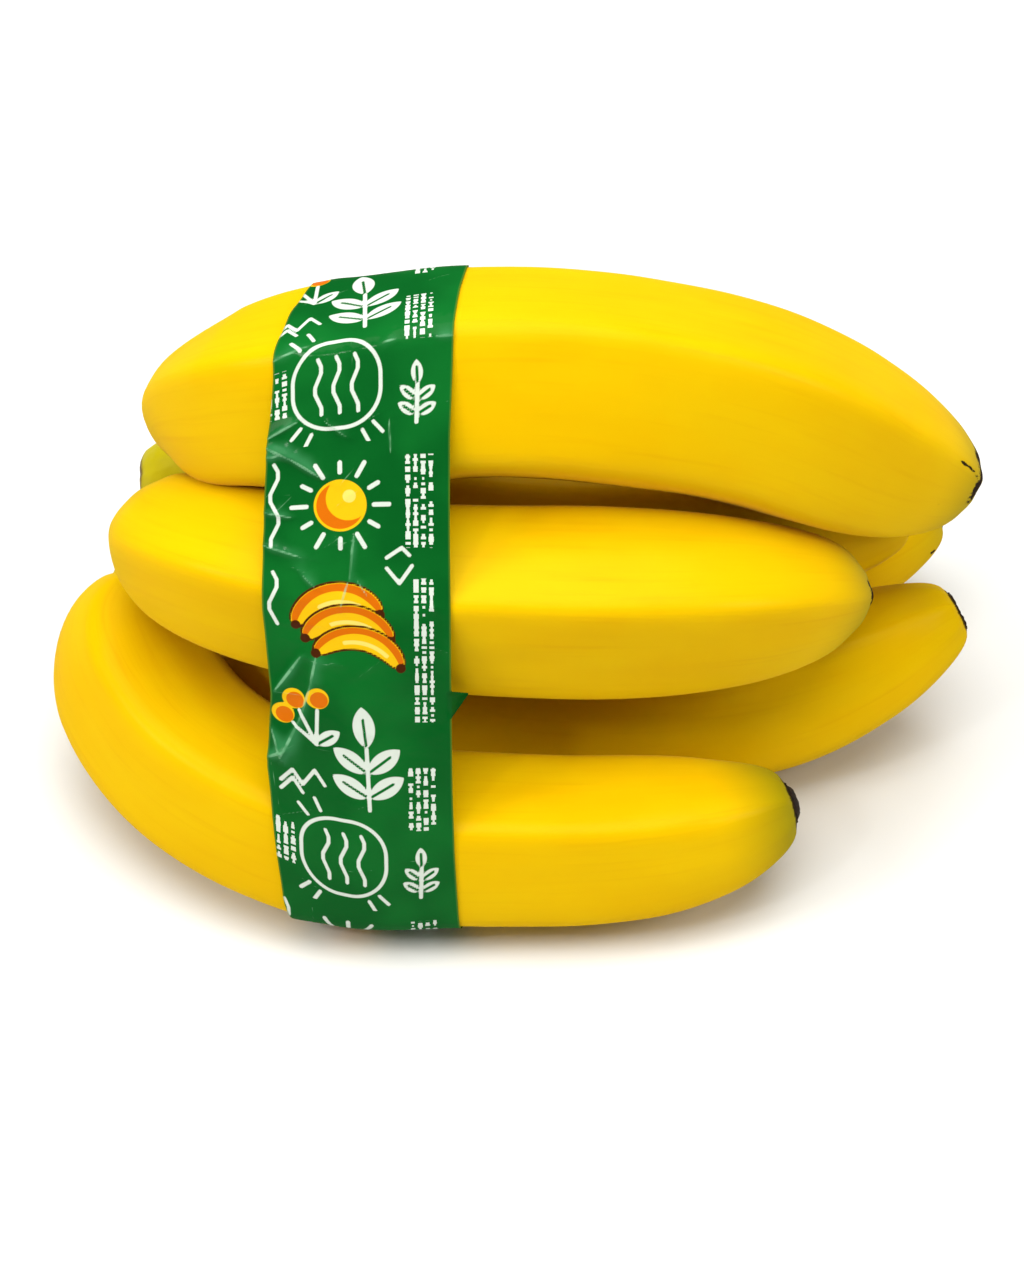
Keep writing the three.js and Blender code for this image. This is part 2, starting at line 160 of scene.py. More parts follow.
FINGERS = {
    "top": dict(
        girth=20, neck=68, taper=55, belly=0.47, ridge=63, twist=20,
        line=[(-64, 72, 61), (-63.5, 66.8, 68.8), (-66.5, 62.6, 84.7), (-53.1, 52.7, 95.2),
              (-30.3, 47.1, 100.5), (-8.9, 46.2, 104.7), (16.6, 46.7, 103.1),
              (46.9, 51.1, 92.9), (72, 56.7, 78), (95.4, 64.6, 63.1)],
    ),
    "middle": dict(
        girth=17.9, neck=30, taper=72, belly=0.82, ridge=36, twist=0,
        line=[(-68, 72, 54), (-70.5, 64, 54), (-70.4, 49, 60), (-56.5, 32.6, 67),
              (-34.9, 24.6, 67.5), (-9.8, 23.2, 66.7), (17.3, 24.3, 64.9),
              (42.8, 28.3, 61.8), (58.9, 34.6, 57.2), (71.2, 42.5, 51)],
    ),
    "front": dict(
        girth=17.2, neck=46, taper=35.5, belly=0.32, ridge=50, twist=0,
        line=[(-71, 77, 47), (-77.1, 71.4, 40.3), (-78, 63.7, 33.7), (-82, 50.9, 29),
              (-72.5, 31.1, 22.6), (-57.4, 16.2, 19.5), (-33.6, 4.3, 17.6),
              (-11.3, 3.3, 17.3), (17.9, 3, 17.3), (40.4, 6, 18.2), (57.7, 10.9, 20.5)],
    ),
    "inner": dict(
        girth=17.6, neck=50, taper=59, belly=0.52, ridge=60, twist=0,
        line=[(-60, 81, 46), (-61.5, 75.5, 33.5), (-52.5, 63, 22.8), (-38, 53, 18.2),
              (-18, 48, 17.7), (3.9, 44.7, 17.7), (28.1, 43.3, 17.7), (55.1, 46.8, 19.2),
              (75.2, 51.7, 23.6), (96.3, 58.5, 31.9)],
    ),
    "rear_upper": dict(
        girth=17.2, neck=58, taper=55, belly=0.56, ridge=60, twist=0,
        line=[(-58, 79, 56), (-46, 76, 59), (-24, 69, 55), (2, 65, 52), (28, 65.5, 50.6),
              (54, 68, 48.7), (70.2, 70, 47.5), (84.9, 72.4, 47.6)],
    ),
    "rear_lower": dict(
        girth=17.2, neck=58, taper=60, belly=0.5, ridge=60, twist=0,
        line=[(-61, 89, 44), (-50, 94, 36), (-23, 95, 22), (6, 90, 17.8), (34, 88, 17.4),
              (59.5, 91.4, 17.8), (77.6, 94, 20), (95.7, 102.7, 23)],
    ),
}
# How green each tip still is, and how far its dark rim reaches back.
TIPS = {"top": (0.85, 0.4), "middle": (0.9, 0.4), "front": (1.0, 0.5), "inner": (0.25, 0.35),
        "rear_upper": (0.1, 0.5), "rear_lower": (0.5, 0.6)}
# Thin dark marks on the peel: the banana, the points of the mark as distance before the tip and
# degrees round the section, and how far its stain fades out.
SCARS = (
    ("top", ((15, 0), (11, 0), (6.4, 2)), 0.62),
    ("top", ((4.2, 322), (4.2, 338), (3.4, 352), (3.4, 368), (3.8, 378)), 8.0),
    ("middle", ((3.0, 345), (3.0, 357), (3.2, 364)), 5.0),
    ("rear_lower", ((6.8, 69), (5.2, 74)), 0.9),
)
SCAR_RADIUS = 6.0  # of the tapering tip where the marks are

SEEDS = {"flower": 11, "crown": 31, "waves": 51, "slack": 52, "creases": 53}


# ---- numbers and noise
TINY = 1e-9
RIPPLE_SPREAD = (0.6, 1.5)  # the waves of a ripple are shorter or longer by up to these factors


def lerp(a, b, t):
    return a + (b - a) * t


def smoothstep(x, low, high):
    t = np.clip((x - low) / (high - low), 0, 1)
    return t * t * (3 - 2 * t)


def fading(distance, reach):
    """1 at the place itself, falling away like a bell over the reach on both sides."""
    return np.exp(-(distance / reach) ** 2)


def ripple(points, wavelength, seed, waves=7):
    """Smooth noise from a few crossing sine waves, about -1 to 1, for points of any dimension."""
    random = np.random.default_rng(seed)
    total = np.zeros(points.shape[:-1])
    for _ in range(waves):
        direction = random.normal(size=points.shape[-1])
        direction *= random.uniform(*RIPPLE_SPREAD) / np.linalg.norm(direction)
        phase = random.uniform(0, 2 * math.pi)
        total += np.sin(points @ direction * 2 * math.pi / wavelength + phase)
    return total / math.sqrt(waves)


def unit(vectors):
    return vectors / np.maximum(np.linalg.norm(vectors, axis=-1, keepdims=True), TINY)


def towards(degrees):
    """The flat unit vector at an angle."""
    return np.array([math.cos(math.radians(degrees)), math.sin(math.radians(degrees))])


def laid_round(angle, radius, along):
    """Points on a straight round bar, where patterns and noise are worked out."""
    return np.stack(np.broadcast_arrays(radius * np.cos(angle), radius * np.sin(angle), along), axis=-1)


# ---- curves and tubes
def smooth_line(points, per_span=60):
    """Centripetal Catmull-Rom through the points, as many short steps, with distances along it."""
    points = np.array(points, float)
    padded = np.vstack([2 * points[0] - points[1], points, 2 * points[-1] - points[-2]])
    path = []
    for i in range(len(points) - 1):
        p0, p1, p2, p3 = padded[i:i + 4]
        d0, d1, d2 = (np.sqrt(np.linalg.norm(b - a)) for a, b in ((p0, p1), (p1, p2), (p2, p3)))
        start = ((p1 - p0) / d0 - (p2 - p0) / (d0 + d1) + (p2 - p1) / d1) * d1
        end = ((p2 - p1) / d1 - (p3 - p1) / (d1 + d2) + (p3 - p2) / d2) * d1
        t = np.linspace(0, 1, per_span, endpoint=False)[:, None]
        cubic = 2 * p1 - 2 * p2 + start + end
        square = -3 * p1 + 3 * p2 - 2 * start - end
        path.append(p1 + start * t + square * t ** 2 + cubic * t ** 3)
    path = np.vstack(path + [points[-1:]])
    steps = np.linalg.norm(np.diff(path, axis=0), axis=1)
    return path, np.concatenate([[0], np.cumsum(steps)])


def tube(line, stations, sides, facing, twist, radius_of):
    """Rings of points round a line: an array of stations x sides x 3, with the angle of each side."""
    path, distance = line
    length = distance[-1]
    inside = np.minimum(stations, length)
    centres = np.stack([np.interp(inside, distance, path[:, k]) for k in range(3)], axis=1)
    before, after = np.maximum(inside - TANGENT_STEP, 0), np.minimum(inside + TANGENT_STEP, length)
    tangents = unit(np.stack(
        [np.interp(after, distance, path[:, k]) - np.interp(before, distance, path[:, k])
         for k in range(3)], axis=1))
    centres += tangents * (stations - inside)[:, None]
    middle = len(stations) // 2
    normals = np.zeros_like(centres)

    def across(direction, i):
        return unit(direction - tangents[i] * (direction @ tangents[i]))

    normals[middle] = across(facing, middle)
    for i in range(middle + 1, len(stations)):
        normals[i] = across(normals[i - 1], i)
    for i in range(middle - 1, -1, -1):
        normals[i] = across(normals[i + 1], i)
    sideways = np.cross(tangents, normals)
    angles = np.linspace(0, 2 * math.pi, sides, endpoint=False)
    radius = radius_of(stations[:, None], angles[None, :])
    turned = angles[None, :] + math.radians(twist) * (2 * stations[:, None] / length - 1) ** 2
    ring = normals[:, None] * np.cos(turned)[..., None] + sideways[:, None] * np.sin(turned)[..., None]
    return centres[:, None] + ring * radius[..., None], angles


def grid_faces(rows, columns, closed_rows=False):
    """Quads of a grid whose columns close on themselves, and its rows too when asked."""
    index = np.arange(rows * columns).reshape(rows, columns)
    below = np.roll(index, -1, axis=0) if closed_rows else index[1:]
    here = index if closed_rows else index[:-1]
    quads = np.stack([here, np.roll(here, -1, axis=1), np.roll(below, -1, axis=1), below], axis=-1)
    return quads.reshape(-1, 4)


def add_object(name, data):
    """A new object in the scene that holds the data."""
    item = bpy.data.objects.new(name, data)
    bpy.context.scene.collection.objects.link(item)
    return item


def set_attribute(mesh, label, values):
    """Gives each point of a mesh a number or a vector that materials can read."""
    values = np.asarray(values, np.float32)
    kind, field = ("FLOAT_VECTOR", "vector") if values.ndim == 2 else ("FLOAT", "value")
    mesh.attributes.new(label, kind, "POINT").data.foreach_set(field, values.ravel())


def make_mesh(name, points, faces, material, attributes):
    """A smooth-shaded object from points in drawing millimetres."""
    mesh = bpy.data.meshes.new(name)
    placed = (np.asarray(points, float) + ORIGIN) * MM
    mesh.from_pydata(placed.tolist(), [], [list(map(int, face)) for face in faces])
    mesh.update()
    for label, values in attributes.items():
        set_attribute(mesh, label, values)
    mesh.shade_smooth()
    mesh.materials.append(material)
    return add_object(name, mesh)


def finish_piece(piece, node):
    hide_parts(node)
    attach(piece, "root")


# ---- material helpers
MIX_A, MIX_B, MIX_RESULT = 6, 7, 2  # the colour sockets of a mix node share their names with others


class Nodes:
    """A thin wrapper that adds and links shader nodes."""

    def __init__(self, name):
        self.material = bpy.data.materials.new(name)
        self.material.use_nodes = True
        self.tree = self.material.node_tree
        self.shader = self.tree.nodes["Principled BSDF"]

    def add(self, kind, inputs=None, **settings):
        node = self.tree.nodes.new("ShaderNode" + kind)
        for key, value in settings.items():
            setattr(node, key, value)
        for key, value in (inputs or {}).items():
            self.feed(node.inputs[key], value)
        return node

    def feed(self, socket, value):
        if isinstance(value, bpy.types.NodeSocket):
            self.tree.links.new(value, socket)
        else:
            socket.default_value = value

    def attribute(self, name, output="Fac"):
        return self.add("Attribute", attribute_name=name).outputs[output]

    def place(self):
        return self.add("TexCoord").outputs["Object"]

    def noise(self, coordinate, scale, detail=3.0, roughness=0.55):
        """Noise with so many repeats per unit, or with a number of its own along each axis."""
        if isinstance(scale, tuple):
            coordinate, scale = self.stretch(coordinate, scale), 1.0
        inputs = {"Vector": coordinate, "Scale": scale, "Detail": detail, "Roughness": roughness}
        return self.add("TexNoise", inputs).outputs["Fac"]

    def stretch(self, coordinate, scale):
        inputs = {0: coordinate, 1: scale}
        return self.add("VectorMath", inputs, operation="MULTIPLY").outputs[0]

    def remap(self, value, low, high, out_low=0.0, out_high=1.0):
        inputs = {"Value": value, "From Min": low, "From Max": high,
                  "To Min": out_low, "To Max": out_high}
        return self.add("MapRange", inputs, interpolation_type="SMOOTHSTEP").outputs[0]

    def within(self, name, blur):
        """1 inside the shape whose signed distance an attribute holds, and 0 outside it."""
        return self.remap(self.attribute(name), -blur, blur, 1.0, 0.0)

    def math(self, operation, a, b=0.0):
        return self.add("Math", {0: a, 1: b}, operation=operation).outputs[0]

    def mix(self, factor, a, b):
        node = self.add("Mix", data_type="RGBA")
        self.feed(node.inputs["Factor"], factor)
        self.feed(node.inputs[MIX_A], a)
        self.feed(node.inputs[MIX_B], b)
        return node.outputs[MIX_RESULT]

    def bump(self, height, strength, distance, normal=None):
        inputs = {"Height": height, "Strength": strength, "Distance": distance}
        if normal is not None:
            inputs["Normal"] = normal
        return self.add("Bump", inputs).outputs[0]

    def finish(self, color, roughness, normal=None, **uniform):
        self.feed(self.shader.inputs["Base Color"], color)
        self.feed(self.shader.inputs["Roughness"], roughness)
        if normal is not None:
            self.feed(self.shader.inputs["Normal"], normal)
        for key, value in uniform.items():
            self.shader.inputs[key.replace("_", " ")].default_value = value
        return self.material


def rgb(red, green, blue):
    """A linear colour from 0-255 screen values."""
    def linear(value):
        value /= 255
        return value / 12.92 if value <= 0.04045 else ((value + 0.055) / 1.055) ** 2.4
    return (linear(red), linear(green), linear(blue), 1.0)


# ---- materials
# Bare numbers in a material are noise levels, shares of a look and, in a bump, strength and metres.
NOISE_WIDE, NOISE_MIDDLE = (0.3, 0.7), (0.35, 0.65)  # levels between which one look turns to another

PEEL = {
    "warm": rgb(213, 168, 1), "bright": rgb(216, 176, 3), "streak": rgb(197, 142, 2),
    "neck": rgb(160, 149, 6), "tip": rgb(137, 128, 8), "stain": rgb(39, 25, 8),
    "speck": rgb(131, 84, 11), "mark": rgb(34, 20, 7),
}
# Repeats of the peel's patterns per millimetre: two numbers round the banana, one along it.
MOTTLE = (0.06, 0.06, 0.025)
STREAKS = (0.7, 0.7, 0.03)
FRAYING = (0.6, 0.6, 0.6)
PORES = 1.1
SPECK_STRETCH, SPECKS = (1.0, 1.0, 0.55), 0.16
SPECK_RADII = (0.02, 0.06)  # a speck fades out between these distances, in spaces between specks
SPECKLED = (0.6, 0.68)  # levels of the mottle between which specks appear
NECK_GREEN = (6.0, 34.0)  # distances from the neck's start between which its green fades out
NECK_GREEN_SHARE = 0.75
NECK_GREEN_UNEVEN = 6.0  # how far the mottle moves that green back and forth
TIP_GREEN = (-3.0, 19.0)  # distances from the tip between which its green fades out
TIP_STAIN_EDGE = (-0.15, 0.25)  # and its dark rim, past its own reach
TIP_STAIN_SHARE = 0.94
MARK_EDGE = (0.66, 0.78)  # nearness to a dark mark's line between which the mark appears
MARK_FRAYING = 0.16  # how much of that nearness the fraying takes away
SHEEN = 0.03  # of the clean peel, which its dark marks lack


def skin_material():
    """Ripe peel: warm yellow, faintly mottled, green at both ends, with very few fine specks."""
    n = Nodes("banana_skin")
    flat = n.attribute("straight", "Vector")  # the banana laid out straight, in millimetres
    to_tip = n.attribute("to_tip")
    mottle = n.noise(flat, MOTTLE)
    streaks = n.noise(flat, STREAKS, roughness=0.6)
    color = n.mix(n.remap(mottle, *NOISE_WIDE), PEEL["warm"], PEEL["bright"])
    color = n.mix(n.remap(streaks, 0.5, 0.85, out_high=0.3), color, PEEL["streak"])
    uneven = n.remap(mottle, *NOISE_WIDE, -NECK_GREEN_UNEVEN, NECK_GREEN_UNEVEN)
    from_neck = n.math("ADD", n.attribute("from_neck"), uneven)
    color = n.mix(n.remap(from_neck, *NECK_GREEN, NECK_GREEN_SHARE, 0.0), color, PEEL["neck"])
    tip_green = n.math("MULTIPLY", n.remap(to_tip, *TIP_GREEN, 1.0, 0.0), n.attribute("tip_green"))
    color = n.mix(tip_green, color, PEEL["tip"])
    frayed = n.noise(flat, FRAYING, roughness=0.7)
    stained = n.math("MULTIPLY", n.attribute("tip_stain"), n.remap(frayed, *NOISE_WIDE, 0.6, 1.3))
    tip_stain = n.remap(n.math("SUBTRACT", to_tip, stained), *TIP_STAIN_EDGE, TIP_STAIN_SHARE, 0.0)
    color = n.mix(tip_stain, color, PEEL["stain"])
    speck = n.add("TexVoronoi", {"Vector": n.stretch(flat, SPECK_STRETCH), "Scale": SPECKS}, feature="F1")
    dot = n.remap(speck.outputs["Distance"], *SPECK_RADII, 0.6, 0.0)
    color = n.mix(n.math("MULTIPLY", dot, n.remap(mottle, *SPECKLED)), color, PEEL["speck"])
    torn = n.math("SUBTRACT", n.attribute("scar"), n.remap(frayed, 0.35, 0.6, MARK_FRAYING, 0.0))
    mark = n.remap(torn, *MARK_EDGE)
    color = n.mix(mark, color, PEEL["mark"])
    clean = n.math("SUBTRACT", 1.0, n.math("MAXIMUM", mark, tip_stain))
    n.feed(n.shader.inputs["Sheen Weight"], n.math("MULTIPLY", clean, SHEEN))
    normal = n.bump(n.noise(flat, PORES, detail=2.0, roughness=0.6), 0.05, 0.0002)
    normal = n.bump(streaks, 0.10, 0.0006, normal)
    return n.finish(color, 0.45, normal, Subsurface_Weight=0.1, Subsurface_Radius=(1.0, 0.45, 0.06),
                    Subsurface_Scale=0.002, Specular_IOR_Level=0.0, Coat_Weight=0.05, Coat_Roughness=0.33,
                    Sheen_Roughness=0.4)


DRY = {"black": rgb(16, 10, 6), "brown": rgb(46, 28, 11)}


def dry_flower_material():
    n = Nodes("dry_flower")
    grain = n.noise(n.place(), 900.0, detail=5.0, roughness=0.7)
    cracks = n.add("TexVoronoi", {"Vector": n.place(), "Scale": 700.0}, feature="DISTANCE_TO_EDGE")
    color = n.mix(n.remap(grain, 0.35, 0.7), DRY["black"], DRY["brown"])
    normal = n.bump(grain, 0.8, 0.0006)
    normal = n.bump(cracks.outputs["Distance"], 0.5, 0.0005, normal)
    return n.finish(color, 0.82, normal, Specular_IOR_Level=0.25)


CROWN = {
    "yellow": rgb(196, 176, 2), "green": rgb(174, 160, 4), "fibre": rgb(160, 148, 8),
    "dark pith": rgb(118, 92, 26), "light pith": rgb(142, 120, 34), "rot": rgb(64, 43, 16),
}
CROWN_FIBRES = (90.0, 380.0, 380.0)  # repeats per metre, few along the stalk


def crown_material():
    n = Nodes("crown")
    cut = n.attribute("cut")  # 1 on the cut face, 0 on the stalk
    fibre = n.noise(n.place(), CROWN_FIBRES, roughness=0.6)
    blotch = n.noise(n.place(), 60.0, detail=2.0)
    stalk = n.mix(n.remap(blotch, 0.35, 0.7), CROWN["yellow"], CROWN["green"])
    stalk = n.mix(n.remap(fibre, 0.45, 0.75, out_high=0.35), stalk, CROWN["fibre"])
    pith = n.noise(n.place(), 420.0, detail=4.0, roughness=0.7)
    face = n.mix(n.remap(pith, *NOISE_MIDDLE), CROWN["dark pith"], CROWN["light pith"])
    face = n.mix(n.remap(blotch, 0.45, 0.7, out_high=0.7), face, CROWN["rot"])
    normal = n.bump(fibre, 0.12, 0.0005)
    normal = n.bump(n.math("MULTIPLY", pith, cut), 0.6, 0.0008, normal)
    return n.finish(n.mix(cut, stalk, face), 0.55, normal, Specular_IOR_Level=0.1)


FILM = {
    "deep": rgb(6, 80, 27), "bright": rgb(12, 95, 34), "painted_sheen": rgb(58, 132, 84),
    "glint_and_whitening": rgb(128, 182, 142), "rim": rgb(108, 131, 29),
}
INKS = {
    "white": rgb(195, 204, 195), "yellow": rgb(217, 172, 16), "pale": rgb(222, 199, 96),
    "orange": rgb(195, 98, 9), "brown": rgb(64, 29, 9),
}
INK_BLUR = 0.1  # half the width over which an ink's edge fades
CREST_BLUR = 0.12
FILM_SHEEN_HEIGHTS = (0.08, 0.7)  # heights of the creases nearby between which a painted sheen, partly stress whitening, makes the film paler
FILM_SHEEN_UNEVEN = (-0.16, 0.06)
FILM_RIM = (0.05, 0.45)  # distances from an edge between which its yellowish rim ends


def film_material():
    """Glossy dyed film, with a painted sheen near its creases and painted glints along their crests, both
    partly stress whitening. Each ink is a signed distance in millimetres, below zero inside its shape.
    """
    n = Nodes("film")
    color = n.mix(n.remap(n.noise(n.place(), 45.0, detail=2.0), *NOISE_MIDDLE),
                  FILM["deep"], FILM["bright"])
    # Painted sheen, partly stress whitening: the film is paler where creases stand high nearby
    uneven = n.remap(n.noise(n.place(), 110.0, detail=2.0), *NOISE_MIDDLE, *FILM_SHEEN_UNEVEN)
    painted_sheen = n.remap(n.math("ADD", n.attribute("crease_height"), uneven), *FILM_SHEEN_HEIGHTS, out_high=0.5)
    color = n.mix(painted_sheen, color, FILM["painted_sheen"])
    for ink, tint in INKS.items():
        color = n.mix(n.within(ink, INK_BLUR), color, tint)
    color = n.mix(small_print(n), color, INKS["white"])
    # Painted glints along the creases' top edges, partly stress whitening, broken up by noise
    crest_patchiness = n.remap(n.noise(n.place(), 300.0, detail=2.0, roughness=0.6), 0.35, 0.6, 0.15, 0.6)
    glint_and_whitening = n.math("MULTIPLY", n.within("crest", CREST_BLUR), crest_patchiness)
    color = n.mix(glint_and_whitening, color, FILM["glint_and_whitening"])
    color = n.mix(n.remap(n.attribute("to_edge"), *FILM_RIM, 0.55, 0.0), color, FILM["rim"])
    normal = n.bump(n.noise(n.place(), 240.0, detail=2.0, roughness=0.6), 0.16, 0.0008)
    n.feed(n.shader.inputs["Coat Normal"], normal)
    return n.finish(color, 0.5, normal, Specular_IOR_Level=0.0, Coat_Weight=0.1, Coat_Roughness=0.13)


SMALL_PRINT_PITCH = 1.5  # millimetres from one line of tiny marks to the next
SMALL_PRINT_STEP = 0.52  # length of one mark along its line
SMALL_PRINT_HALF_HEIGHTS = (0.12, 0.34)  # of the marks, as shares of the pitch
SMALL_PRINT_GAPS = 0.3  # share of the marks that is left out


def small_print(n):
    """Lines of tiny square marks, with gaps, wherever the panels of small print are."""
    cells_per_mm = (1 / SMALL_PRINT_STEP, 1 / SMALL_PRINT_PITCH, 0.0)
    step = n.stretch(n.attribute("flat_place", "Vector"), cells_per_mm)
    cell = n.add("VectorMath", {0: step}, operation="FLOOR").outputs[0]
    drawn = n.add("TexWhiteNoise", {"Vector": cell}).outputs["Value"]
    inside = n.add("VectorMath", {0: step}, operation="FRACTION").outputs[0]
    across = n.add("SeparateXYZ", {0: inside}).outputs["Y"]
    off_line = n.math("ABSOLUTE", n.math("SUBTRACT", across, 0.5))
    stroke = n.math("LESS_THAN", off_line, n.remap(drawn, 0.2, 0.9, *SMALL_PRINT_HALF_HEIGHTS))
    shown = n.math("MULTIPLY", stroke, n.math("GREATER_THAN", drawn, SMALL_PRINT_GAPS))
    return n.math("MULTIPLY", shown, n.within("small_print", INK_BLUR))


TABLE_COLORS = (rgb(216, 216, 216), rgb(218, 218, 218))


def table_material():
    n = Nodes("table")
    return n.finish(n.mix(n.noise(n.place(), 6.0), *TABLE_COLORS), 0.6, Specular_IOR_Level=0.2)


# ---- bananas
STRAIGHT_RADIUS = 17  # of the straight round banana on which the peel's pattern is laid out
STRAIGHT_SHIFT = 300  # and how far apart the bananas stand on it, so that no two look alike


def ridged_section(angle):
    """Radius of a rounded pentagon of unit inradius, mixed with a circle."""
    around = (*RIDGE_ANGLES, 360)
    flats = [math.radians((a + b) / 2) for a, b in zip(around, around[1:])]
    total = sum(np.maximum(0, np.cos(angle - flat)) ** RIDGE_SHARPNESS for flat in flats)
    return RIDGE_FLATTENING * lerp(1, total ** (-1 / RIDGE_SHARPNESS), RIDGE_SHARE)


def girth_at(finger, distance, length):
    belly = 1 - BELLY_FALL * ((distance / length - finger["belly"]) * 2) ** 2
    neck = smoothstep(distance, NECK_START, finger["neck"])
    body = lerp(NECK_RADIUS, finger["girth"] * belly, neck)
    to_tip = np.clip((length - distance) / finger["taper"], 0, 1)
    return lerp(TIP_RADIUS, body, (1 - (1 - to_tip) ** TIP_SHARPNESS) ** TIP_BLUNTNESS)


def scar_nearness(name, to_tip, angle):
    """1 on the thin dark marks of a banana's peel, 0 a little way from them."""
    nearness = np.zeros_like(angle)
    for owner, points, reach in SCARS:
        if owner != name:
            continue
        for (first, start), (last, end) in zip(points, points[1:]):
            along = np.array([last - first, math.radians(end - start) * SCAR_RADIUS])
            turn = (angle - math.radians(start) + math.pi) % (2 * math.pi) - math.pi
            offset = np.stack([to_tip - first, turn * SCAR_RADIUS], axis=-1)
            t = np.clip(offset @ along / (along @ along), 0, 1)
            distance = np.linalg.norm(offset - t[:, None] * along, axis=-1)
            nearness = np.maximum(nearness, 1 - distance / reach)
    return nearness


def skin_radius(finger, seed, length):
    """The radius as a function of distance and angle, with the small unevenness of real fruit."""
    def radius(distance, angle):
        at_tip = lerp(RIDGES_AT_TIP, 1, smoothstep(length - distance, 0, RIDGES_SOFTEN))
        ridged = smoothstep(distance, RIDGES_FROM, RIDGES_FULL) * at_tip
        base = girth_at(finger, distance, length) * lerp(1, ridged_section(angle), ridged)
        laid_out = laid_round(angle, UNEVEN_RADIUS, distance * UNEVEN_STRETCH)
        uneven = sum(height * ripple(laid_out, wavelength, seed + i)
                     for i, (height, wavelength) in enumerate(UNEVENNESS))
        to_tip = length - distance
        drawn = fading(to_tip, TIP_PLEATS) + fading(distance - NECK_PLEATS[0], NECK_PLEATS[1])
        sway = PLEAT_SWAY * np.sin(PLEAT_SWAYS * angle + seed)
        pleats = PLEAT_HEIGHT * drawn * np.cos(PLEATS * angle + sway)
        drawn_in, reach = TIP_DRAWN_IN
        rim = -drawn_in * fading(to_tip, reach)
        return base + uneven * smoothstep(to_tip, 0, UNEVEN_FADE) + pleats + rim
    return radius


def lie_on_table(points):
    in_film = (smoothstep(points[..., 0], FILM_FROM, FILM_FROM + FILM_RAMP)
               * (1 - smoothstep(points[..., 0], FILM_TO, FILM_TO + FILM_RAMP)))
    points[..., 2] = np.maximum(points[..., 2], in_film * FILM_LIFT)
    return points


def bulge(grid, stations, place, spread, pull):
    """Pulls out the side of a tube that faces along the pull, most at one place along it."""
    outward = unit(grid - grid.mean(1, keepdims=True))
    facing = np.clip(outward @ unit(pull), 0, 1) ** BULGE_SHARPNESS
    return grid + (fading(stations - place, spread)[:, None] * facing)[..., None] * pull


def facing_of(finger):
    lean = math.radians(finger["ridge"])
    return np.array([0, -math.cos(lean), math.sin(lean)])


def closed_tube(grid):
    """Points and faces of a tube with a fan at each end, round a middle point of its own."""
    rings, sides = grid.shape[:2]
    faces = [list(face) for face in grid_faces(rings, sides)]
    first, last = rings * sides, rings * sides + 1
    offset = (rings - 1) * sides
    for k in range(sides):
        following = (k + 1) % sides
        faces.append([first, following, k])
        faces.append([last, offset + k, offset + following])
    return np.vstack([grid.reshape(-1, 3), grid[0].mean(0), grid[-1].mean(0)]), faces


def banana(name, finger, seed, material):
    line = smooth_line(finger["line"])
    length = line[1][-1]
    stations = np.linspace(SKIN_START, length, SKIN_RINGS)
    grid, angles = tube(line, stations, SKIN_SIDES, facing_of(finger), finger["twist"],
                        skin_radius(finger, seed, length))
    if name in BULGES:
        grid = bulge(grid, stations, *BULGES[name])
    grid = lie_on_table(grid)
    along = np.append(np.repeat(stations, SKIN_SIDES), [stations[0], stations[-1]])
    around = np.append(np.tile(angles, len(stations)), [0, 0])
    straight = laid_round(around, STRAIGHT_RADIUS, along + STRAIGHT_SHIFT * seed)
    tip_green, tip_stain = (np.full(len(along), value) for value in TIPS[name])
    piece = make_mesh("peel_" + name, *closed_tube(grid), material, {
        "straight": straight, "from_neck": along, "to_tip": length - along, "tip_green": tip_green,
        "tip_stain": tip_stain, "scar": scar_nearness(name, length - along, around)})
    finish_piece(piece, "banana_" + name)
    return grid


# ---- flower ends
FLOWER_LENGTH = 0.4
FLOWER_SHARPNESS = 5  # power of the curve by which it narrows towards its middle
# Shares of the way in to its middle where its side ends and where its rim is highest and lowest.
FLOWER_SIDE, FLOWER_CREST, FLOWER_HOLLOW = 0.15, 0.5, 0.82
FLOWER_KNOB_RISE = (0.7, 0.97)  # and between which its knob rises
FLOWER_FACE = 0.6  # share of its length that its face stands out
FLOWER_TORN = 0.3  # how unequal the rim is
FLOWER_GRAIN = 4.0  # length of the finer tears
FLOWER_WOBBLE = (0.03, 2.8)  # share by which its radius varies, and over what length
FLOWER_ROUGHNESS = (0.08, 1.6)  # height and length of its wrinkles
FLOWER_KNOB = {"front": 1.4}  # how far the dry knob in the middle stands out
FLOWER_USUAL_KNOB = 0.15  # and how far it does on the other bananas
FLOWER_INSET = 0.3  # how much narrower it is than the tip
FLOWER_BURIED = 0.8  # length of it that sits inside the tip
FLOWER_LOBES = 5
FLOWER_RINGS = 26
FLOWER_SIDES = 72
FLOWER_AIM_STEPS = 8  # last steps of the banana's line, which give the way it stands out


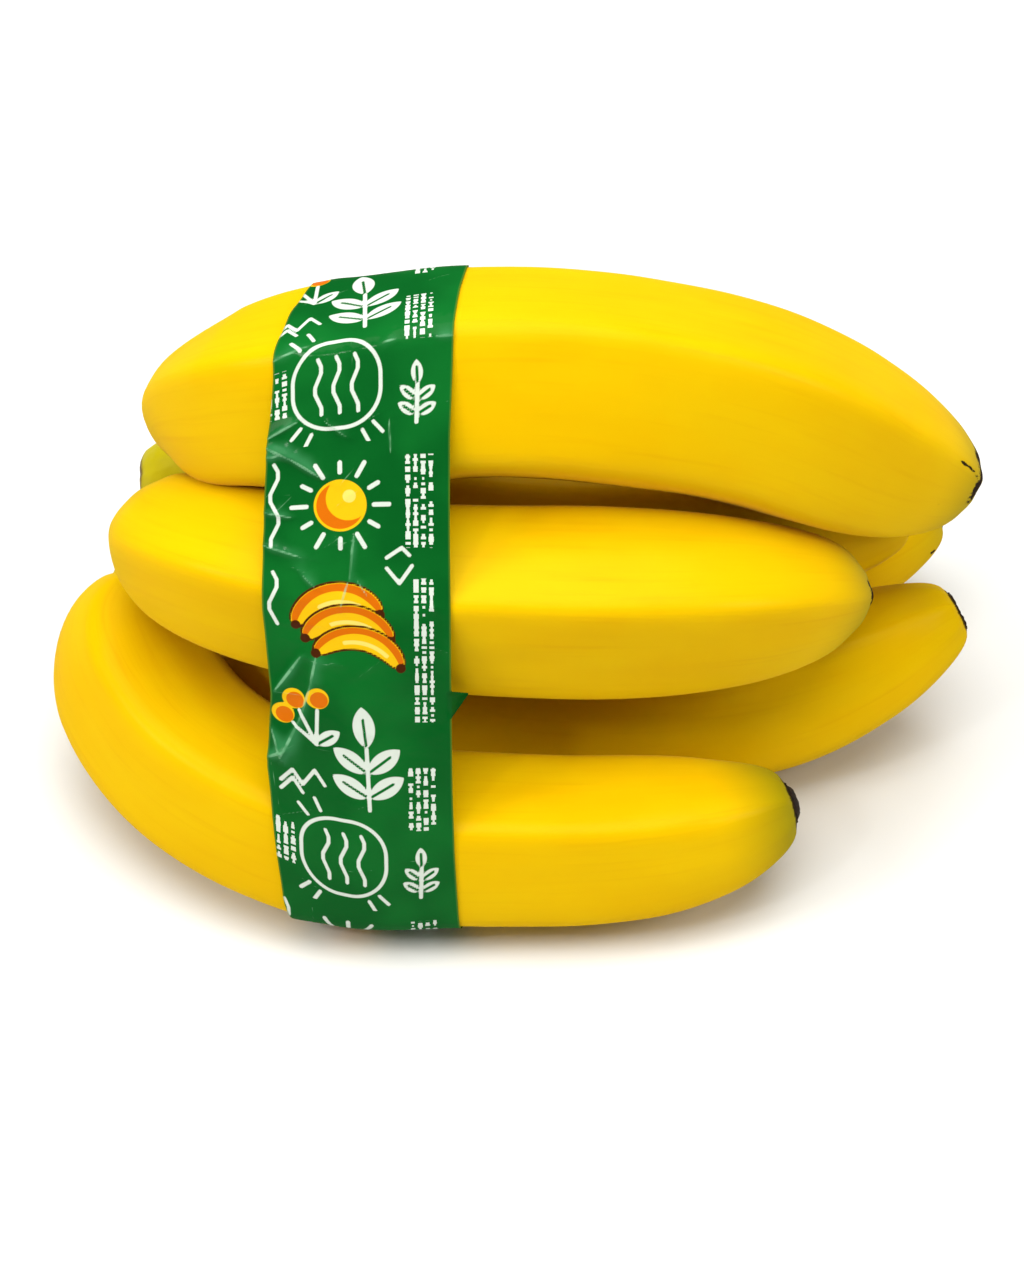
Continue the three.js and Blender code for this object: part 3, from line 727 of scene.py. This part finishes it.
def flower_end(name, finger, seed, material):
    """The withered flower: a shallow button with an uneven rim and a dry knob in its middle."""
    line = smooth_line(finger["line"])
    length = line[1][-1]
    share = np.linspace(0, 1, FLOWER_RINGS)[:, None]
    angle = np.linspace(0, 2 * math.pi, FLOWER_SIDES, endpoint=False)[None, :]
    radius = (TIP_RADIUS - FLOWER_INSET) * np.sqrt(np.clip(1 - share ** FLOWER_SHARPNESS, 0, 1))
    place = laid_round(angle, radius, FLOWER_GRAIN * share)
    lobes = np.cos(FLOWER_LOBES * angle + seed) + ripple(place, FLOWER_GRAIN, seed)
    torn = (0.5 + FLOWER_TORN * lobes) / 2
    inwards = smoothstep(share, FLOWER_CREST, FLOWER_HOLLOW)
    rim = smoothstep(share, FLOWER_SIDE, FLOWER_CREST) * (1 - inwards)
    knob = smoothstep(share, *FLOWER_KNOB_RISE) * FLOWER_KNOB.get(name, FLOWER_USUAL_KNOB)
    outward = FLOWER_LENGTH * (FLOWER_FACE * smoothstep(share, 0, FLOWER_CREST) + rim * torn) + knob
    wrinkle, wrinkle_length = FLOWER_ROUGHNESS
    outward += wrinkle * ripple(place, wrinkle_length, seed + 5)
    outward = np.where(share > FLOWER_SIDE, outward, -FLOWER_BURIED)
    wobble, wobble_length = FLOWER_WOBBLE
    radius = radius * (1 + wobble * ripple(place, wobble_length, seed + 9))
    grid, _ = tube(line, np.full(FLOWER_RINGS, length), FLOWER_SIDES, facing_of(finger), finger["twist"],
                   lambda distance, around: radius)
    path = line[0]
    grid = grid + unit(path[-1] - path[-FLOWER_AIM_STEPS]) * outward[..., None]
    piece = make_mesh("dry_flower_" + name, *closed_tube(grid), material, {})
    finish_piece(piece, "flower_end_" + name)


# ---- crown
CROWN_VOXEL = 0.7
CROWN_SMOOTHING = {"factor": 0.6, "iterations": 9}
CROWN_UNEVENNESS = ((0.18, 7), (0.07, 2.6))  # mean height and wavelength
CUT_X = -79.3  # plane in which the CAD's crown ends
CUT_REACH = 0.8  # how much further out the highest part of the cut stands
CUT_ROUNDING = 5.0  # length over which the stalk's end is rounded
CUT_NARROWING = 0.3  # share of its width that the rounding takes away at the cut
CUT_SLANT = 1.6  # how far the cut runs back below its highest part
CUT_SLANT_TOP = 57.0  # height at which the slant starts
CUT_SLANT_DROP = 5.0  # and the drop over which most of it is reached
CUT_SLANT_DEPTH = 12.0  # length of stalk that is moved along with it
CUT_MIDDLE_DEPTH = 2.0  # length of stalk whose middle the narrowing draws towards
CUT_DEPTHS = (0.5, 1.6)  # the cut's colour fades out between these distances from the plane
CUT_FACING = (0.55, 0.85)  # and where the surface turns sideways


def melt_together(piece):
    """Applies a fine remesh and a smoothing, which round every edge and joint."""
    bpy.context.view_layer.objects.active = piece
    remeshing = {"mode": "VOXEL", "voxel_size": CROWN_VOXEL * MM}
    for kind, settings in (("REMESH", remeshing), ("SMOOTH", CROWN_SMOOTHING)):
        modifier = piece.modifiers.new(kind.lower(), kind)
        for key, value in settings.items():
            setattr(modifier, key, value)
        with bpy.context.temp_override(object=piece, active_object=piece):
            bpy.ops.object.modifier_apply(modifier=modifier.name)


def shape_cut(points, depth, height):
    """Slants and rounds the stalk's end, given each point's depth behind it and height in millimetres."""
    below = np.maximum(0, CUT_SLANT_TOP - height)
    slant = CUT_SLANT * (1 - np.exp(-below / CUT_SLANT_DROP)) - CUT_REACH
    points[:, 0] += slant * (1 - smoothstep(depth, 0, CUT_SLANT_DEPTH)) * MM
    middle = points[depth < CUT_MIDDLE_DEPTH][:, 1:].mean(0)
    beyond = np.clip(1 - depth / CUT_ROUNDING, 0, 1)
    narrowed = 1 - CUT_NARROWING * (1 - np.sqrt(1 - beyond ** 2))
    points[:, 1:] = lerp(middle, points[:, 1:], narrowed[:, None])


def crown(material):
    """The pad and collars of the CAD crown, melted together and smoothed as grown tissue is."""
    piece = add_object("crown_stalk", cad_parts["crown"].data.copy())
    melt_together(piece)
    mesh = piece.data
    points = np.array([v.co for v in mesh.vertices])
    normals = np.array([v.normal for v in mesh.vertices])
    millimetres = points / MM
    uneven = sum(height * ripple(millimetres, wavelength, SEEDS["crown"] + i)
                 for i, (height, wavelength) in enumerate(CROWN_UNEVENNESS))
    points += normals * uneven[:, None] * MM
    depth = millimetres[:, 0] - (CUT_X + ORIGIN[0])
    shape_cut(points, depth, millimetres[:, 2])
    mesh.vertices.foreach_set("co", points.astype(np.float32).ravel())
    cut = (1 - smoothstep(depth, *CUT_DEPTHS)) * smoothstep(-normals[:, 0], *CUT_FACING)
    set_attribute(mesh, "cut", cut)
    mesh.materials.clear()
    mesh.materials.append(material)
    mesh.shade_smooth()
    mesh.update()
    finish_piece(piece, "crown")


# ---- film strip
def crossing(grid, x, clearance):
    """Where a banana's lengthwise edges cross the plane at x, moved outwards by the clearance."""
    a, b = grid[:-1], grid[1:]
    crosses = (a[..., 0] < x) != (b[..., 0] < x)
    a, b = a[crosses], b[crosses]
    t = ((x - a[:, 0]) / (b[:, 0] - a[:, 0]))[:, None]
    points = lerp(a, b, t)[:, 1:]
    return points + unit(points - points.mean(0)) * clearance


def convex_outline(points):
    """Anticlockwise convex outline by the monotone chain."""
    points = points[np.lexsort((points[:, 1], points[:, 0]))].tolist()

    def half(ordered):
        chain = []
        for p in ordered:
            while len(chain) > 1:
                (ax, ay), (bx, by) = chain[-2:]
                if (bx - ax) * (p[1] - by) - (by - ay) * (p[0] - bx) > 0:
                    break
                chain.pop()
            chain.append(p)
        return chain[:-1]

    return np.array(half(points) + half(points[::-1]))


def reaches(outline, directions):
    """Distance from the strip's middle line to the outline, in each direction."""
    step = np.roll(outline, -1, axis=0) - outline
    normals = np.stack([step[:, 1], -step[:, 0]], axis=1)
    facing = directions @ normals.T
    away = ((outline - FILM_MIDDLE) * normals).sum(1)[None, :]
    with np.errstate(divide="ignore", invalid="ignore"):
        return np.where(facing > TINY, away / facing, np.inf).min(1)


def even_directions(outline, count):
    closed = np.vstack([outline, outline[:1]])
    distance = np.concatenate([[0], np.cumsum(np.linalg.norm(np.diff(closed, axis=0), axis=1))])
    wanted = np.linspace(0, distance[-1], count, endpoint=False)
    points = np.stack([np.interp(wanted, distance, closed[:, k]) for k in range(2)], axis=1)
    return unit(points - FILM_MIDDLE), distance[-1]


def smooth_round(values, reach):
    """Values round the strip, averaged over a few neighbours on both sides."""
    window = np.hanning(2 * reach + 1)
    padded = np.concatenate([values[-reach:], values, values[:reach]])
    return np.convolve(padded, window / window.sum(), "same")[reach:-reach]


def film_edges(heading):
    """Where the strip's left and right edges run, at each heading round its middle line."""
    angle, left, right = np.array(FILM_EDGES, float).T
    return [smooth_round(np.interp(heading, angle, edge), EDGE_SMOOTHING) for edge in (left, right)]


def heading_of(directions):
    """Degrees round the middle line: 0 faces forwards, 90 up and 180 back."""
    return np.degrees(np.arctan2(directions[..., 1], -directions[..., 0]))


def film_surface(bodies):
    """The taut strip as a grid round x across x 3, the heading of each row, and its length round."""
    rear = [bodies["rear_upper"], bodies["rear_lower"]]
    slices = np.linspace(FILM_FROM, FILM_TO, FILM_SLICES)

    def outline_at(x):
        parts = [crossing(grid, x, FILM_CLEARANCE) for grid in bodies.values()]
        parts += [crossing(grid, max(x, FILM_REAR_STANDS), FILM_CLEARANCE) for grid in rear]
        return convex_outline(np.vstack(parts))

    directions, around = even_directions(outline_at((FILM_FROM + FILM_TO) / 2), FILM_ROUND)
    reach = np.array([reaches(outline_at(x), directions) for x in slices])
    heading = heading_of(directions)
    left, right = film_edges(heading)
    across = np.linspace(0, 1, FILM_ACROSS + 1)
    x = lerp(left[:, None], right[:, None], across[None, :])
    spread = np.array([np.interp(x[k], slices, reach[:, k]) for k in range(FILM_ROUND)])
    flat = FILM_MIDDLE + directions[:, None, :] * spread[..., None]
    return np.concatenate([x[..., None], flat], axis=-1), heading, around


def surface_normals(grid):
    round_way = np.roll(grid, -1, axis=0) - np.roll(grid, 1, axis=0)
    across_way = np.gradient(grid, axis=1)
    normals = unit(np.cross(round_way, across_way))
    outward = grid[..., 1:] - FILM_MIDDLE
    flip = np.sign((normals[..., 1:] * outward).sum(-1).mean())
    return normals * flip


def crease(place, start, end, height, near_side, far_side):
    """A sharp crest along a line: how high the film stands, and the distance to its top edge, which gets a
    painted glint and stress whitening.
    """
    along = end - start
    length = np.hypot(*along)
    offset = place - start
    t = np.clip(offset @ along / length ** 2, 0, 1)
    side = offset[..., 0] * along[1] - offset[..., 1] * along[0]
    distance = np.hypot(*np.moveaxis(offset - t[..., None] * along, -1, 0))
    faded = np.sin(math.pi * lerp(CREASE_ENDS, 1 - CREASE_ENDS, t)) ** CREASE_FULLNESS
    raised = height * faded * np.exp(-distance / np.where(side > 0, near_side, far_side))
    return raised, distance - CREST_WIDTH * faded * min(1, height / CREST_HEIGHT)


def small_creases():
    """Short faint creases, most of them near the strip's slack left edge."""
    random = np.random.default_rng(SEEDS["creases"])
    for _ in range(SMALL_CREASES):
        heading = random.uniform(-180, 180)
        x = lerp(*SMALL_CREASE_X, random.uniform() ** SMALL_CREASE_CROWDING)
        lean = random.normal(0, SMALL_CREASE_LEAN)
        length = random.uniform(*SMALL_CREASE_LENGTH)
        turn = math.degrees(length * math.sin(lean) / STRIP_RADIUS)
        end = (heading + turn, x + length * math.cos(lean))
        height = random.uniform(*SMALL_CREASE_HEIGHT)
        yield (heading, x), end, height, *(random.uniform(*side) for side in SMALL_CREASE_SIDES)


def film_relief(grid, heading, around):
    """How far the film stands out, the distance to the nearest crest, and the height of the creases."""
    rows = np.arange(FILM_ROUND) * around / FILM_ROUND
    order = np.argsort(heading)

    def from_row(wanted, row):
        """The shortest way round the strip from a row to the wanted one."""
        return (wanted - row + around / 2) % around - around / 2

    waves = FILM_WAVE * (1 + ripple(grid * FILM_WAVE_STRETCH, FILM_WAVE_LENGTH, SEEDS["waves"]) / 2)
    from_left = grid[..., 0] - grid[:, :1, 0]
    loose = 1 + ripple(grid, FILM_SLACK_LENGTH, SEEDS["slack"])
    relief = waves + np.maximum(FILM_SLACK * np.exp(-from_left / FILM_SLACK_REACH) * loose, 0)
    crest, crease_height = np.full(relief.shape, INK_REACH), np.zeros(relief.shape)
    for (first, x0), (second, x1), height, near_side, far_side in (*CREASES, *small_creases()):
        start, end = (np.interp((angle + 180) % 360 - 180, heading[order], rows[order])
                      for angle in (first, second))
        place = np.stack(np.broadcast_arrays(from_row(rows, start)[:, None], grid[..., 0]), axis=-1)
        raised, line = crease(place, np.array([0, x0]), np.array([from_row(end, start), x1]),
                              height, near_side, far_side)
        crease_height += raised
        crest = np.minimum(crest, line)
    return relief + crease_height, crest, crease_height


def tucked_corner(heading):
    """How far the small corner of the right edge is drawn in between two bananas."""
    low, high = TUCK_HEADINGS
    rise = np.clip((heading - low) / (high - low), 0, 1) * (1 - smoothstep(heading, high, high + TUCK_TOP))
    pull = rise[:, None] * smoothstep(np.linspace(0, 1, FILM_ACROSS + 1), TUCK_FROM, 1)[None, :]
    return pull[..., None] * TUCK_PULL


def film_band(bodies, material):
    grid, heading, around = film_surface(bodies)
    normals = surface_normals(grid)
    relief, crest, crease_height = film_relief(grid, heading, around)
    relief *= smoothstep(grid[..., 2], *FILM_PRESSED)
    grid = grid + normals * relief[..., None]
    x = grid[..., 0].copy()
    tuck = tucked_corner(heading)
    grid = grid + tuck
    outer = grid + normals * FILM_THICKNESS
    outer[..., 2] = np.maximum(outer[..., 2], FILM_OFF_TABLE)
    columns = np.linspace(0, FILM_ACROSS, FILM_LINING).round().astype(int)
    flattened = relief[:, columns] * ((columns > 0) & (columns < FILM_ACROSS))
    inner = grid[:, columns] - normals[:, columns] * flattened[..., None]
    inner[..., 2] = np.maximum(inner[..., 2], FILM_OFF_TABLE + FILM_THICKNESS)
    section = np.concatenate([inner, outer[:, ::-1]], axis=1)
    round_way = np.arange(FILM_ROUND)[:, None] * around / FILM_ROUND
    to_edge = np.minimum(x - x[:, :1], x[:, -1:] - x) + np.linalg.norm(tuck, axis=-1)
    flat_place = np.stack(np.broadcast_arrays(round_way, x, 0.0), axis=-1)

    def both_faces(values):
        return np.concatenate([values[:, columns], values[:, ::-1]], axis=1)

    attributes = {"to_edge": both_faces(to_edge).ravel(), "crease_height": both_faces(crease_height).ravel(),
                  "flat_place": both_faces(flat_place).reshape(-1, 3)}
    printed = {**print_design(round_way, x, around), "crest": crest}
    for name, distance in printed.items():
        bare = np.full(inner.shape[:2], INK_REACH)
        attributes[name] = np.concatenate([bare, distance[:, ::-1]], axis=1).ravel()
    faces = grid_faces(*section.shape[:2], closed_rows=True)
    piece = make_mesh("film_strip", section.reshape(-1, 3), faces, material, attributes)
    finish_piece(piece, "film_band")


# ---- printed pattern
# The motifs are drawn in millimetres: their bare numbers are places, sizes and angles on the film.
INK_REACH = 2.0  # signed distances are cut off here
REPEATS = 4  # of the pattern round the strip
PRINT_START = 47.0  # where the first repeat's middle stands, round the strip
PRINT_MIDDLE = -30.5  # x of the middle of the pattern
LINE = 0.75  # width of a drawn line
FRUIT_SPREAD = 60  # degrees from a crescent's middle to each of its ends


class Pen:
    """Signed distances of flat shapes at given places: p runs down the strip, q across it."""

    def __init__(self, p, q):
        self.p, self.q = p, q

    def at(self, p, q):
        """The same pen with its origin moved there."""
        return Pen(self.p - p, self.q - q)

    def segment(self, a, b, width=LINE):
        (ap, aq), (bp, bq) = a, b
        dp, dq = bp - ap, bq - aq
        t = np.clip(((self.p - ap) * dp + (self.q - aq) * dq) / (dp * dp + dq * dq), 0, 1)
        return np.hypot(self.p - ap - t * dp, self.q - aq - t * dq) - width / 2

    def line(self, points, width=LINE):
        return join(*(self.segment(a, b, width) for a, b in zip(points, points[1:])))

    def disc(self, radius, centre=(0, 0)):
        return np.hypot(self.p - centre[0], self.q - centre[1]) - radius

    def panel(self, centre, half_length, half_width, corner):
        """A box with rounded corners."""
        dp = np.abs(self.p - centre[0]) - half_length + corner
        dq = np.abs(self.q - centre[1]) - half_width + corner
        outside = np.hypot(np.maximum(dp, 0), np.maximum(dq, 0))
        return outside + np.minimum(np.maximum(dp, dq), 0) - corner

    def leaf(self, base, angle, length, width):
        """A pointed leaf with a bare midrib, growing from its base at an angle in degrees."""
        way = towards(angle)
        middle = np.array(base) + way * length / 2
        bend = (length ** 2 / 4 - width ** 2 / 4) / width
        side = np.array([-way[1], way[0]]) * bend
        radius = math.hypot(bend, length / 2)
        blade = np.maximum(self.disc(radius, middle + side), self.disc(radius, middle - side))
        return np.maximum(blade, -self.segment(base, middle + way * length * 0.2, 0.6))

    def fruit(self, angle, radius, girth):
        """A crescent: its filled shape, its shaded back, its bright belly and its two dark ends."""
        half = math.radians(FRUIT_SPREAD)
        turn = np.arctan2(self.q, self.p) - math.radians(angle)
        turn = (turn + math.pi) % (2 * math.pi) - math.pi
        taper = np.sqrt(np.clip(1 - (np.abs(turn) / half) ** 2.6, 0, 1))
        away = self.disc(radius)
        body = np.maximum(np.abs(away) - girth * taper - 0.4, (np.abs(turn) - half) * radius)
        shade = np.maximum(body + 0.35, girth * (0.12 + 0.3 * np.cos(2 * turn)) * taper - away)
        shine = np.maximum(np.abs(away + girth * 0.45) - 0.42, (np.abs(turn + 0.15) - 0.55) * radius)
        ends = [self.disc(1.0, radius * towards(angle + side * FRUIT_SPREAD)) for side in (-1, 1)]
        return body, shade, shine, join(*ends)


def join(*shapes):
    return np.minimum.reduce(shapes)


def wave(start, step, count, height):
    """Points of a wavy line that runs down the strip."""
    return [(start[0] + i * step, start[1] + height * math.sin(i * math.pi / 3)) for i in range(count)]


def sprig(pen, turn, size):
    """A stem that carries five leaves."""
    stem = [towards(turn) * size * 0.28 * i for i in range(6)]
    leaves = [pen.leaf(stem[5], turn + 4, size * 0.95, size * 0.46)]
    for joint, lean in ((1, 58), (3, 52)):
        leaves += [pen.leaf(stem[joint], turn + side * lean, size * 0.88, size * 0.42) for side in (-1, 1)]
    return {"white": join(pen.line(stem, 0.8), *leaves)}


def rays(pen, angles, start, end, width=LINE):
    """Short strokes that point away from the middle, between two distances from it."""
    return [pen.segment(towards(angle) * start, towards(angle) * end, width) for angle in angles]


def sun(pen):
    """A disc with a glowing middle and a ring of rays, every second one longer."""
    ring = rays(pen, range(0, 360, 60), 6.6, 8.6, 0.9) + rays(pen, range(30, 360, 60), 6.6, 9.6, 0.9)
    glow = np.maximum(pen.disc(4.7), -pen.disc(4.4, (-1.4, 1.6)))
    return {"yellow": pen.disc(5.2), "orange": glow, "white": join(*ring),
            "pale": pen.disc(1.3, (-1.8, 1.8))}


def fruit_hand(pen):
    """Three crescents that overlap like the fingers of a hand of fruit."""
    parts = [pen.at(4.3 * i, 1.2 * i - 1.4).fruit(190 - 9 * i, 9.8, 2.5 - 0.2 * i) for i in range(3)]
    inks = {"yellow": [part[0] for part in parts], "orange": [], "pale": [], "brown": []}
    for i, (body, shade, shine, ends) in enumerate(parts):
        nearer = [-other[0] for other in parts[i + 1:]]
        inks["orange"].append(np.maximum.reduce([shade, *nearer]))
        inks["pale"].append(np.maximum.reduce([shine, *nearer]))
        inks["brown"].append(np.maximum.reduce([join(np.abs(body) - 0.24, ends), *nearer]))
    return {ink: join(*shapes) for ink, shapes in inks.items()}


def pond(pen):
    """An oval frame round three wavy lines, with short strokes that leave it."""
    oval = np.abs(pen.panel((0, 0), 8.6, 8.6, 7.4)) - LINE / 2
    waves = [pen.line(wave((-5.6, 3.6 * i), 1.4, 9, 0.7)) for i in (-1, 0, 1)]
    return {"white": join(oval, *waves, *rays(pen, (28, 42, 318, 332, 205, 222), 10.6, 13.4))}


def berries(pen):
    """Three round berries on short stalks, and a small leaf."""
    inks = {"orange": [], "yellow": [], "pale": [], "white": []}
    foot = np.array([6.0, 1.0])
    for place in ((-3.6, -3.4), (-4.4, 1.4), (0.2, -5.6)):
        berry = pen.at(*place)
        inks["yellow"].append(berry.disc(2.3))
        inks["orange"].append(berry.disc(1.8, (0.3, 0.3)))
        inks["pale"].append(berry.disc(0.5, (-0.7, -0.6)))
        inks["white"].append(pen.segment(place + unit(foot - place) * 2.6, foot))
    inks["white"].append(pen.leaf(foot, 128, 6.0, 3.0))
    return {ink: join(*shapes) for ink, shapes in inks.items()}


def strokes(pen, lines):
    return {"white": join(*(pen.line(points) for points in lines))}


def small_panels(pen, panels):
    """Where the small print stands: the middle, half length and half width of each panel."""
    return {"small_print": join(*(pen.panel(*panel, 0.1) for panel in panels))}


def print_design(round_way, x, around):
    """Signed distance to each ink's shapes at every place of the strip, in millimetres."""
    repeat = around / REPEATS
    down = (round_way - PRINT_START + repeat / 2) % repeat - repeat / 2
    pen = Pen(*np.broadcast_arrays(down, x - PRINT_MIDDLE))
    motifs = (
        sun(pen.at(-37.5, -3.0)),
        fruit_hand(pen.at(-9.5, -1.5)),
        berries(pen.at(7.5, -9.5)),
        sprig(pen.at(26.5, 2.0), 182, 9.6),
        pond(pen.at(38.0, -3.5)),
        sprig(pen.at(46.5, 12.0), 178, 5.0),
        small_panels(pen, (((-38, 12.5), 9, 3.0), ((-8, 13.25), 15, 2.25), ((38, -15.25), 5, 2.25),
                           ((24, 12.5), 7, 3.0))),
        strokes(pen, (wave((-47, -16), 1.6, 12, 0.9), wave((-24, -16.5), 1.6, 8, 0.9),
                      [(24, -16), (20.5, -13.5), (23.5, -11.5), (19.5, -9), (22.5, -7)],
                      [(26, -16), (22.5, -13.5), (25.5, -11.5)],
                      [(-25, 6), (-22, 8.5), (-25.5, 11)], [(-27, 6), (-29, 9), (-27.5, 10.5)])),
    )
    return {ink: np.clip(join(*(motif[ink] for motif in motifs if ink in motif)), -INK_REACH, INK_REACH)
            for ink in (*INKS, "small_print")}


# ---- stage, light and camera
ELEVATION = math.radians(42)
CAMERA_DISTANCE = 700.0
LOOK_AT = np.array([0.0, 38.0, 42.0])
SENSOR = 36.0
FRAME_HEIGHT = 268.8  # millimetres of the object seen from top to bottom of the picture

TABLE_REACH = 6.0  # metres from the middle of the table to each of its sides
WORLD_COLOR = (1, 0.96, 0.9, 1)
WORLD_STRENGTH = 0.13
WARM = (1, 0.955, 0.87)
PALE = (0.985, 1, 0.975)
WHITE = (1, 1, 1)
BUNCH = (0, 0, 0.03)
# The lamps: place and aim in metres, width in metres, watts and colour.
LAMPS = {
    "overhead": ((-0.04, -0.08, 1.3), BUNCH, 1.5, 25.2, PALE),
    "front": ((0, -0.75, 1.1), BUNCH, 0.9, 1.5, WARM),
    "left": ((-1.0, -0.35, 0.8), BUNCH, 0.5, 7.5, WARM),
    "right": ((1.0, -0.35, 0.8), BUNCH, 0.5, 5.6, WARM),
    "back": ((0, 0.8, 1.0), BUNCH, 0.8, 2.4, WHITE),
    "glint": ((-0.5, -0.55, 0.75), (-0.02, 0, 0.08), 0.1, 1.1, WHITE),
}


def stage():
    corners = [(x * TABLE_REACH, y * TABLE_REACH, 0) for x, y in ((-1, -1), (1, -1), (1, 1), (-1, 1))]
    mesh = bpy.data.meshes.new("table")
    mesh.from_pydata(corners, [], [(0, 1, 2, 3)])
    mesh.materials.append(table_material())
    add_object("table", mesh)


def area_light(name, place, aim, size, power, color):
    lamp = bpy.data.lights.new(name, "AREA")
    lamp.shape = "DISK"
    lamp.size = size
    lamp.energy = power
    lamp.color = color
    item = add_object(name, lamp)
    item.location = place
    item.rotation_euler = (Vector(aim) - Vector(place)).to_track_quat("-Z", "Y").to_euler()


def lights():
    world = bpy.data.worlds.new("studio")
    world.use_nodes = True
    background = world.node_tree.nodes["Background"]
    background.inputs["Color"].default_value = WORLD_COLOR
    background.inputs["Strength"].default_value = WORLD_STRENGTH
    bpy.context.scene.world = world
    for name, setting in LAMPS.items():
        area_light(name, *setting)
    bpy.context.scene.view_settings.view_transform = "Standard"


def camera():
    eye = LOOK_AT + CAMERA_DISTANCE * np.array([0, -math.cos(ELEVATION), math.sin(ELEVATION)])
    data = bpy.data.cameras.new("camera")
    data.sensor_width = SENSOR
    data.lens = SENSOR * CAMERA_DISTANCE / FRAME_HEIGHT
    item = add_object("camera", data)
    item.location = (eye + ORIGIN) * MM
    item.rotation_euler = (math.pi / 2 - ELEVATION, 0, 0)
    bpy.context.scene.camera = item


# ---- the whole bunch
skin = skin_material()
dry = dry_flower_material()
bodies = {}
for number, (name, finger) in enumerate(FINGERS.items()):
    bodies[name] = banana(name, finger, number + 1, skin)
    flower_end(name, finger, number + SEEDS["flower"], dry)
crown(crown_material())
film_band(bodies, film_material())
stage()
lights()
camera()
